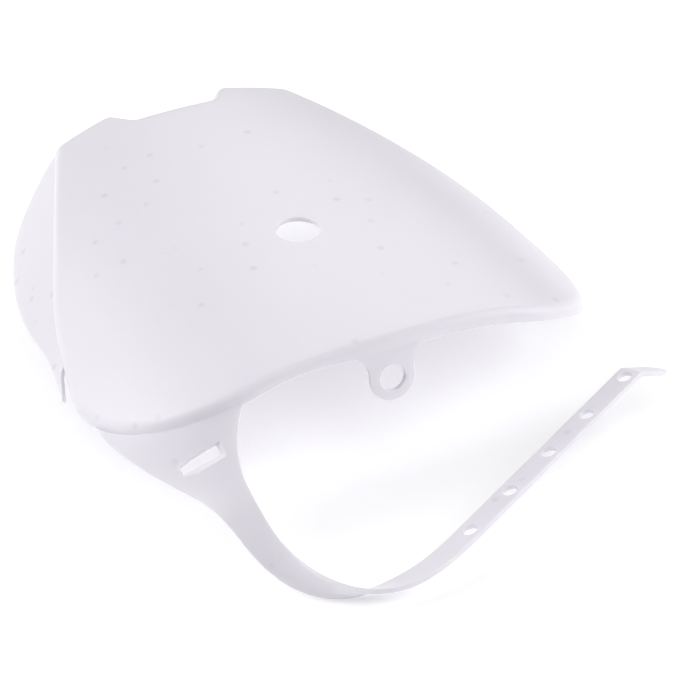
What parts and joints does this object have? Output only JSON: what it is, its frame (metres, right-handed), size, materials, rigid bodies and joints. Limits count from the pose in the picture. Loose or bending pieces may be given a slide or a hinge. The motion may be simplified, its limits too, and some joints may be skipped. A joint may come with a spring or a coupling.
{
  "type": "racing number board",
  "caption": "Crowned trapezoid number board moulded in one sheet, with a turned down rim, hanging side flaps, a centre hole, a mounting tab and a long holed strap.",
  "frame": {"origin": "centre of the wall of the round hole in the middle of the face", "axes": "+Z out of the face the number goes on, +Y towards the notched narrow edge, +X across the board"},
  "size_m": [0.2472, 0.3231, 0.0706],
  "materials": {
    "board_plastic": "semi-gloss white moulded plastic with a faint cool tint"
  },
  "bodies": {
    "root": {"number_board": "board_plastic"}
  },
  "joints": []
}
